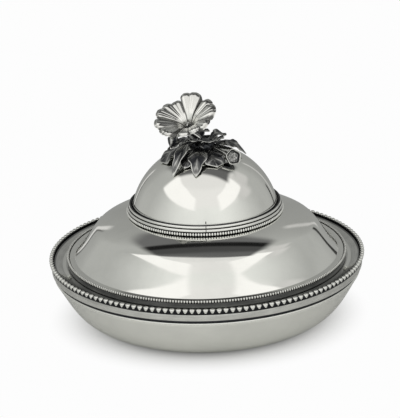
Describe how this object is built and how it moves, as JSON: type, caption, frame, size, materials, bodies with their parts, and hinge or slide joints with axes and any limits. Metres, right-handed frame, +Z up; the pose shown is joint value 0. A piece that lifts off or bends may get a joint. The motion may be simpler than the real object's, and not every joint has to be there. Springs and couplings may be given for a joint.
{
  "type": "covered vegetable dish",
  "caption": "Round covered vegetable dish in polished silver: bowl, lift-out liner with a beaded rim, and a domed cover with a raised crown and a flower and leaf finial.",
  "frame": {"origin": "on the table, under the middle of the bowl's flat base", "axes": "+Z up along the bowl's axis; the viewer of the picture stands at -Y, so +X is to the viewer's right"},
  "size_m": [0.2602, 0.2602, 0.188],
  "materials": {
    "polished_sheet": "mirror polished silver with faint handling marks",
    "bright_wire": "polished silver wire, darker in the recesses",
    "cast_petal": "cast silver, polished ribs with dark hollows",
    "oxidised_leaf": "cast silver, oxidised dark, edges rubbed bright",
    "fixing": "plain turned brass"
  },
  "bodies": {
    "bowl": {"bowl": "polished_sheet", "bowl_lip_wire": "bright_wire"},
    "liner": {"liner": "polished_sheet", "liner_collar": "polished_sheet", "rim_bead_wire": "bright_wire"},
    "cover": {"cover_dome": "polished_sheet", "cover_edge_ring": "polished_sheet", "cover_bezel": "polished_sheet", "cover_bead_wire": "bright_wire", "crown_dome": "polished_sheet", "crown_mount": "polished_sheet", "crown_bead_wire": "bright_wire", "crown_reed_lower": "bright_wire", "crown_reed_upper": "bright_wire", "finial_hub": "oxidised_leaf", "finial_stud": "fixing", "finial_washer": "fixing", "finial_nut": "fixing", "leaf_left": "oxidised_leaf", "leaf_front_left": "oxidised_leaf", "leaf_front": "oxidised_leaf", "leaf_front_right": "oxidised_leaf", "leaf_right": "oxidised_leaf", "leaf_back_right": "oxidised_leaf", "leaf_back": "oxidised_leaf", "leaf_back_left": "oxidised_leaf", "leaf_upper_left": "oxidised_leaf", "leaf_curled": "oxidised_leaf", "leaf_rising_left": "oxidised_leaf", "leaf_rising_right": "oxidised_leaf", "leaf_upper_right": "oxidised_leaf", "leaf_upper_back_right": "oxidised_leaf", "leaf_upper_back": "oxidised_leaf", "petal_1": "cast_petal", "petal_2": "cast_petal", "petal_3": "cast_petal", "petal_4": "cast_petal", "petal_5": "cast_petal", "bloom_eye": "cast_petal", "calyx": "oxidised_leaf", "bloom_stem": "oxidised_leaf", "bud_left": "oxidised_leaf", "bud_left_twig": "oxidised_leaf", "seed_pod": "oxidised_leaf", "seed_pod_twig": "oxidised_leaf"}
  },
  "joints": [
    {"name": "liner_lift", "type": "slide", "parent": "bowl", "child": "liner", "axis": [0, 0, 1], "range_m": [0, 0.07]},
    {"name": "cover_lift", "type": "slide", "parent": "liner", "child": "cover", "axis": [0, 0, 1], "range_m": [0, 0.14]}
  ]
}
